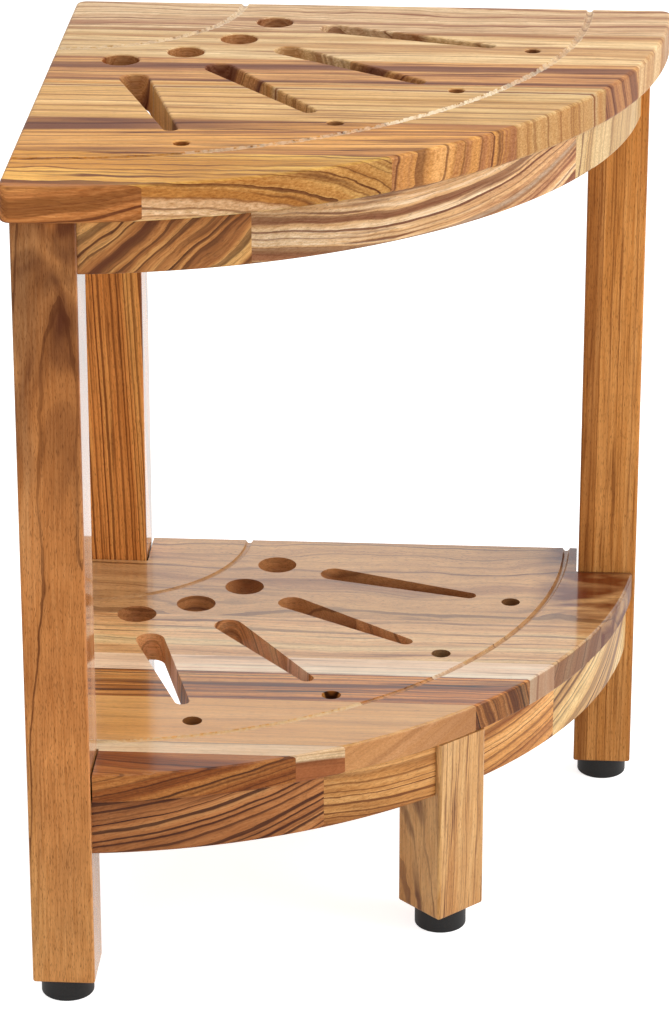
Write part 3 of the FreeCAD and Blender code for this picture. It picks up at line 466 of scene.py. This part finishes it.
# Shelf planks from the back edge to the front; their tops are rubbed to a gloss that mirrors the legs. The
# film's index is set above oil's own 1.47, because the photograph's shelf mirrors more than that gives. The
# rings of holes are the large ones, the slots and the dots
shelfFinish = {
    "coat": 1.0, "sideCoat": 0.05, "coatRoughness": 0.1, "coatIor": 1.65, "roughness": 0.4, "specular": 0.1,
    "pores": 0.45, "fibre": 0.2, "endShade": 0.8, "streakWidth": 4.0, "streakLength": 110,
    "corner": (-0.161, 0.161, 0.134), "grooves": (0.09, 0.275), "tear": 0.0021, "bareTone": "#C09060",
    # the walls of holes and slots are darkened with painted shade, the rings of holes more, the dots most
    "cutRadius": 0.311, "paintedWallShade": 0.95,
    "paintedHoleShades": [(0.1145, 0.0125, (0.86, 0.69, 0.62)), (0.189, 0.0485, (0.84, 0.68, 0.62)),
              (0.257, 0.007, (0.34, 0.26, 0.24))],
}
shelfPlanks = {
    "shelf_plank_1": {
        "tones": ("#E0AF74", "#CC9B68", "#A67449"), "lineTone": "#502610", "pith": (0, -90, -90),
        "start": 300, "ringWidth": 13.0, "wander": 26, "waveLength": 110, "faint": 0.1, "bold": 1.0,
        "lineShare": 0.1, "zoneSpread": 0.14, "streaks": 0.4, "pores": 0.55, "fibre": 0.16,
        # its cloudy dark patches at the right end are painted shade beside the right leg
        "smokeAndShade": (98, 118, "#6A2C10", 1.3), "endShade": 0.4,
    },
    "shelf_plank_2": {
        "tones": ("#F8D8A0", "#F6C68C", "#CD9762"), "lineTone": "#5C2C10", "pith": (0, 110, -50),
        "start": 1100, "ringWidth": 12.0, "wander": 12, "waveLength": 100, "faint": 0.05, "bold": 1.0,
        "streaks": 0.8, "streakWidth": 3.5, "drift": (1.18, 0.92), "endShade": 0.75,
        "edgeTint": (0.72, 0.63, 0.68),
    },
    "shelf_plank_3": {
        "tones": ("#FFEFD2", "#FFE0BE", "#ECC8A2"), "lineTone": "#845238", "pith": (0, 140, 0),
        "start": 1900, "bold": 0.6, "streaks": 0.6, "pores": 0.2, "fibre": 0.12, "drift": (1.24, 0.98),
        "edgeTint": (0.83, 0.73, 0.65),
    },
    "shelf_plank_4": {
        "tones": ("#F0B066", "#C47C38", "#7A421B"), "lineTone": "#2A1006", "pith": (0, -110, -30),
        "start": 2700, "ringWidth": 5.5, "faint": 0.4, "bold": 1.0, "lineShare": 0.24, "zoneWidth": 8,
        "zoneSpread": 0.1, "streaks": 0.95, "drift": (1.06, 1.36), "paintedHoleShades": (), "endShade": 0.45,
        "edgeTint": (0.68, 0.73, 1.04), "coat": 0.85,
    },
    "shelf_plank_5": {
        "tones": ("#F0B872", "#E6AB62", "#CA9152"), "lineTone": "#7A4420", "pith": (0, 90, -120),
        "start": 3500, "faint": 0.04, "bold": 0.4, "zoneSpread": 0.14, "streaks": 0.25, "pores": 0.25,
        "fibre": 0.12, "drift": (1.18, 0.93), "bareTone": "#E8CFA2", "bare": (0.6, 0.75), "endShade": 1.0,
        "edgeTint": (1.0, 0.96, 1.2),
    },
    "shelf_plank_6": {    # pale sapwood over dark heartwood
        "tones": ("#FFF0CC", "#FFE8C0", "#F6CE9C"), "lineTone": "#6A3818", "pith": (0, -15, -80),
        "start": 4300, "ringWidth": 3.0, "wander": 1.5, "wobble": 0.5, "faint": 0.3, "bold": 0.9,
        "streaks": 0.7, "pores": 0.25, "fibre": 0.14, "hearts": [(0, 86, "#B06A3E", 2.0)],
        "bareTone": "#E8CFA2", "bare": (0.6, 0.75),
    },
    "shelf_plank_7": {
        "tones": ("#C27D40", "#9D5827", "#6C340E"), "lineTone": "#38160A", "pith": (0, 30, -50),
        "start": 5100, "grain": (1, -0.05, 0.03), "ringWidth": 3.6, "faint": 0.4, "bold": 1.0,
        "lineShare": 0.22, "zoneWidth": 9, "zoneSpread": 0.1, "streaks": 0.7, "coat": 0.5,
    },
}
for nodeName, look in shelfPlanks.items():
    makeTeak("oiled teak, planed, " + nodeName.replace("_", " "), nodeName, {**shelfFinish, **look})
print("shelf planks:", len(shelfPlanks))

# Legs and the short front post, with the grain upright; the film that mirrors is full on faces across X, and
# there is none on faces across Y
legFinish = {
    "coat": 1.0, "sideCoat": 0.0, "filmAxis": 0, "coatRoughness": 0.06, "roughness": 0.42, "specular": 0.08,
    "streakWidth": 2.0, "streakLength": 70, "poreTone": "#5A2C10",
}
legs = {
    "left_leg": {    # its grain leans back a little, so rings run out on its front as arches
        "tones": ("#F2B478", "#D88B4C", "#A66232"), "lineTone": "#5A2810", "pith": (2, 27.1, 0),
        "start": 500, "grain": (0.01, 0.016, 1), "ringWidth": 6.0, "wander": 4.5, "waveLength": 120,
        "wobble": 1.0, "faint": 0.5, "bold": 1.0, "lineShare": 0.05, "lineRun": 160, "zoneSpread": 0.18,
        "streaks": 0.25, "pores": 0.6, "figure": 0.05, "smokeAndShade": (40, 130, "#683620", 0.95),
        # its band of other wood, 0 to 200 mm from the pith, takes in the whole leg and fades out going up, so
        # the leg is paler towards its foot, and its ends make it darker towards the top
        "hearts": [(0, 200, "#DEA768", 0.7)], "heartEnd": (-150, -40), "drift": (1.12, 0.8),
    },
    "back_leg": {
        "tones": ("#F2AE60", "#E9954C", "#B26A2E"), "lineTone": "#5C260A", "pith": (140, 20, 0),
        "start": 1300, "grain": (-0.04, 0, 1), "ringWidth": 2.8, "uneven": 1.8, "wander": 4,
        "waveLength": 260, "wobble": 0.7, "faint": 0.6, "bold": 1.0, "lineShare": 0.28, "lineRun": 300,
        "zoneSpread": 0.2, "streaks": 0.6,
    },
    "right_leg": {
        "tones": ("#E4A15C", "#D38D48", "#A46934"), "lineTone": "#743A12", "pith": (-160, 20, 0),
        "start": 2100, "grain": (0.006, 0.0, 1), "ringWidth": 4.5, "wander": 3, "waveLength": 260,
        "wobble": 0.8, "faint": 0.3, "bold": 1.0, "lineShare": 0.12, "streaks": 0.6,
        # darker towards its foot, partly its own tone and partly painted shade
        "hearts": [(120, 155, "#8A4E22", 0.6)], "drift": (0.84, 1.12),
    },
    "front_post": {
        "tones": ("#E4B377", "#D19759", "#A16734"), "lineTone": "#643010", "pith": (60, 100, 0),
        "start": 2900, "grain": (0.02, 0.03, 1), "ringWidth": 4.5, "faint": 0.4, "bold": 1.0,
        "lineShare": 0.12, "lineRun": 60, "streaks": 0.85, "pores": 0.4,
    },
}
for nodeName, look in legs.items():
    makeTeak("oiled teak, planed, " + nodeName.replace("_", " "), nodeName, {**legFinish, **look})
print("legs:", len(legs))

# Aprons are sawn to the curve from straight planks. The grain follows the curve's tangent at one angle, in
# degrees from the back edge: that of the piece's own middle, but for the seat's right one, whose grain runs
# across it. A lean tips the grain upwards, as in a plank with wild grain. The pith is so many mm inwards at
# that angle and so many up from the piece's middle
apronFinish = {
    "coat": 0.1, "sideCoat": 0.1, "roughness": 0.42, "specular": 0.12, "pores": 0.4,
    "streakWidth": 2.4, "streakLength": 70, "streaks": 0.4,
}
apronPith = (60, -90)
aprons = {
    "seat_apron_right": {    # its rings stand upright and show as arcs down the face
        "grainAt": 70, "lean": 0.1, "pithAt": (110, -20), "tones": ("#F2D199", "#E8C287", "#C79C64"),
        "lineTone": "#6A3A1C", "start": 100, "ringWidth": 5.0, "wobble": 3.0, "faint": 0.4, "bold": 1.0,
    },
    "seat_apron_middle": {
        "grainAt": 48, "lean": 0.06, "tones": ("#F6DCB9", "#DFB17D", "#A46C48"), "lineTone": "#622810",
        "start": 700, "ringWidth": 5.0, "wander": 9, "faint": 0.65, "bold": 1.0, "lineShare": 0.23,
        "lineRun": 260, "zoneWidth": 8, "streaks": 0.8, "drift": (0.9, 1.25),
    },
    "seat_apron_left": {
        "grainAt": 77, "lean": 0.8, "tones": ("#F0B870", "#C08046", "#8D522C"), "lineTone": "#441A06",
        "start": 1300, "ringWidth": 5.0, "wander": 14, "waveLength": 70, "wobble": 2.6, "faint": 0.75,
        "bold": 1.0, "lineShare": 0.25, "lineRun": 200, "zoneWidth": 10, "zoneSpread": 0.14,
        "streaks": 0.7,
    },
    "shelf_apron_right": {
        "grainAt": 17, "lean": 0.45, "tones": ("#F6D497", "#E1B273", "#A77344"), "lineTone": "#4E200C",
        "start": 1900, "ringWidth": 4.5, "faint": 0.6, "bold": 1.0, "lineShare": 0.25, "lineRun": 250,
        "drift": (1.0, 0.95),
    },
    "shelf_apron_middle": {
        "grainAt": 45.5, "lean": 0.04, "tones": ("#E5AF70", "#CB8F50", "#925628"), "lineTone": "#582204",
        "start": 2500, "ringWidth": 3.2, "wander": 4, "faint": 0.65, "bold": 1.0, "lineShare": 0.2,
        "lineRun": 250, "drift": (0.94, 1.32),
    },
    "shelf_apron_left": {
        "grainAt": 73, "lean": 0.22, "tones": ("#EAAE70", "#C07D48", "#7D431F"), "lineTone": "#361006",
        "start": 3100, "ringWidth": 3.4, "faint": 0.8, "bold": 1.0, "lineShare": 0.28, "lineRun": 200,
        "zoneWidth": 14, "zoneSpread": 0.2,
    },
}
for nodeName, look in aprons.items():
    angle = math.radians(look["grainAt"])
    inward, raised = look.get("pithAt", apronPith)
    placed = {
        "grain": (math.sin(angle), math.cos(angle), look["lean"]),
        "pith": (-inward * math.cos(angle), inward * math.sin(angle), raised),
    }
    makeTeak("oiled teak, sawn to a curve, " + nodeName.replace("_", " "), nodeName,
             {**apronFinish, **look, **placed})
print("aprons:", len(aprons))

# Straight rails behind the edges
railTones = ("#C58D50", "#B27A40", "#855428")
rails = {
    "seat_rail_back": {"grain": (1, 0, 0.02), "pith": (0, 40, -80), "start": 400},
    "seat_rail_left": {"grain": (0, 1, 0.02), "pith": (40, 0, -80), "start": 1000},
    "shelf_rail_back": {"grain": (1, 0.01, 0), "pith": (0, -60, -80), "start": 1600},
    "shelf_rail_left": {"grain": (0.01, 1, 0), "pith": (-60, 0, -80), "start": 2200},
}
for nodeName, look in rails.items():
    makeTeak("oiled teak, planed, " + nodeName.replace("_", " "), nodeName,
             {**apronFinish, **look, "tones": railTones})
print("rails:", len(rails))


# Beech dowel, turned and fluted: pale even wood with fine flecks
dowelLook = {"pale": "#D9BC8E", "fleck": "#B98F5C", "fleckSize": 1.5, "roughness": 0.6, "ior": 1.5}
beech, tree = newMaterial("beech dowel, turned")
coords = addNode(tree, "TexCoord")
fleckScale = 1000 / dowelLook["fleckSize"]    # mm to a scale per m
flecks = addNode(tree, "TexNoise", {"Vector": coords["Object"], "Scale": fleckScale, "Detail": 3.0})[0]
ends = [(0.4, linear(dowelLook["pale"])), (0.7, linear(dowelLook["fleck"]))]
tone = addNode(tree, "ValToRGB", {0: flecks}, ends)[0]
shader = addNode(tree, "BsdfPrincipled", {
    "Base Color": tone, "Roughness": dowelLook["roughness"], "IOR": dowelLook["ior"]})[0]
finishMaterial(tree, shader)
for nodeName in ("seat_frame_dowels", "shelf_frame_dowels"):
    paint(nodeName, beech)

# Stainless steel and brass, turned on a lathe: fine rings round the axis and a soft gleam
metals = {
    "stainless steel, turned": {
        "tone": "#C9C8C5", "deep": "#A9A8A4", "toolMark": 0.5, "roughness": 0.32,
        "nodes": ["seat_screws", "shelf_screws", "post_screws", "left_foot_stud", "back_foot_stud",
                  "right_foot_stud", "front_foot_stud"],
    },
    "brass, turned": {
        "tone": "#D8B56A", "deep": "#B78F45", "toolMark": 0.5, "roughness": 0.3,
        "nodes": ["threaded_inserts"],
    },
}
markLength = 25    # mm round the axis
for name, look in metals.items():
    material, tree = newMaterial(name)
    coords = addNode(tree, "TexCoord")
    squeeze = (1000 / markLength, 1000 / markLength, 1000 / look["toolMark"])
    squeezed = addNode(tree, "VectorMath", {0: coords["Object"], 1: squeeze}, operation="MULTIPLY")[0]
    marks = addNode(tree, "TexNoise", {"Vector": squeezed, "Scale": 1.0, "Detail": 2.0})[0]
    ends = [(0.35, linear(look["deep"])), (0.65, linear(look["tone"]))]
    tone = addNode(tree, "ValToRGB", {0: marks}, ends)[0]
    rough = addNode(tree, "MapRange", {0: marks, 3: look["roughness"] - 0.08, 4: look["roughness"] + 0.1})[0]
    shader = addNode(tree, "BsdfPrincipled", {"Base Color": tone, "Metallic": 1.0, "Roughness": rough})[0]
    finishMaterial(tree, shader)
    for nodeName in look["nodes"]:
        paint(nodeName, material)

# Rubber foot, moulded: near black, dull, with a fine grainy skin
rubberLook = {
    "tone": "#151414", "dusty": "#222020", "grit": 0.8, "gritBump": 0.2, "gritDepth": 0.0002,
    "roughness": 0.5, "ior": 1.52, "specular": 0.3,
}
rubber, tree = newMaterial("black rubber, moulded")
coords = addNode(tree, "TexCoord")
gritScale = 1000 / rubberLook["grit"]
grit = addNode(tree, "TexNoise", {"Vector": coords["Object"], "Scale": gritScale, "Detail": 4.0})[0]
ends = [(0.35, linear(rubberLook["tone"])), (0.75, linear(rubberLook["dusty"]))]
tone = addNode(tree, "ValToRGB", {0: grit}, ends)[0]
rough = addNode(tree, "MapRange", {
    0: grit, 3: rubberLook["roughness"] - 0.1, 4: rubberLook["roughness"] + 0.1})[0]
bump = addNode(tree, "Bump", {
    "Height": grit, "Strength": rubberLook["gritBump"], "Distance": rubberLook["gritDepth"]})[0]
shader = addNode(tree, "BsdfPrincipled", {
    "Base Color": tone, "Roughness": rough, "IOR": rubberLook["ior"],
    "Specular IOR Level": rubberLook["specular"], "Normal": bump,
})[0]
finishMaterial(tree, shader)
for side in ("left", "back", "right", "front"):
    paint(side + "_foot_pad", rubber)
print("dowels, metal and rubber: done")


# Pale floor; a glow for the camera takes it to white and leaves the shadow, and a weaker one does so in
# reflections
floorLook = {"size": 6.0, "tone": "#F4F4F2", "glow": 0.75, "mirrorGlow": 0.36}
half = floorLook["size"] / 2
mesh = bpy.data.meshes.new("floor")
mesh.from_pydata([(-half, -half, 0), (half, -half, 0), (half, half, 0), (-half, half, 0)], [], [(0, 1, 2, 3)])
floor = bpy.data.objects.new("floor", mesh)
bpy.context.scene.collection.objects.link(floor)
paper, tree = newMaterial("white studio paper")
path = addNode(tree, "LightPath")
seen = addNode(tree, "Math", {
    0: path["Is Camera Ray"], 1: path["Is Transmission Ray"]}, operation="MAXIMUM")[0]
direct = addNode(tree, "Math", {0: seen, 1: floorLook["glow"]}, operation="MULTIPLY")[0]
mirrored = addNode(tree, "Math", {
    0: path["Is Glossy Ray"], 1: floorLook["mirrorGlow"]}, operation="MULTIPLY")[0]
glow = addNode(tree, "Math", {0: direct, 1: mirrored}, operation="MAXIMUM")[0]
matt = addNode(tree, "BsdfDiffuse", {"Color": linear(floorLook["tone"])})[0]
shine = addNode(tree, "Emission", {"Strength": glow})[0]
both = addNode(tree, "AddShader", {0: matt, 1: shine})[0]
finishMaterial(tree, both)
mesh.materials.append(paper)

# White surroundings: full white for camera and reflections, less as light
worldLook = {"light": 0.5}
world = bpy.data.worlds.new("studio")
bpy.context.scene.world = world
world.use_nodes = True
tree = world.node_tree
tree.nodes.clear()
path = addNode(tree, "LightPath")
seen = addNode(tree, "Math", {0: path["Is Camera Ray"], 1: path["Is Glossy Ray"]}, operation="MAXIMUM")[0]
seen = addNode(tree, "Math", {0: seen, 1: path["Is Transmission Ray"]}, operation="MAXIMUM")[0]
strength = addNode(tree, "MapRange", {0: seen, 3: worldLook["light"], 4: 1.0})[0]
sky = addNode(tree, "Background", {"Color": (1, 1, 1, 1), "Strength": strength})[0]
addNode(tree, "OutputWorld", {"Surface": sky})

# Soft boxes: the main one from the right, one from above and a weak one from the front left
softBoxes = {
    "right": {"place": (1.6, -0.35, 1.1), "size": 1.2, "power": 20},
    "above": {"place": (0.1, 0.3, 2.0), "size": 1.4, "power": 12},
    "front": {"place": (-0.5, -1.9, 0.9), "size": 1.0, "power": 5},
}
lampTarget = Vector((0, 0, 0.25))
for name, look in softBoxes.items():
    lamp = bpy.data.lights.new(name + " soft box", "AREA")
    lamp.size = look["size"]
    lamp.energy = look["power"]
    holder = bpy.data.objects.new(name + " soft box", lamp)
    holder.location = look["place"]
    aim = lampTarget - holder.location
    holder.rotation_euler = aim.to_track_quat("-Z", "Y").to_euler()
    bpy.context.scene.collection.objects.link(holder)
bpy.context.scene.view_settings.view_transform = "Standard"
print("stage and light: done")
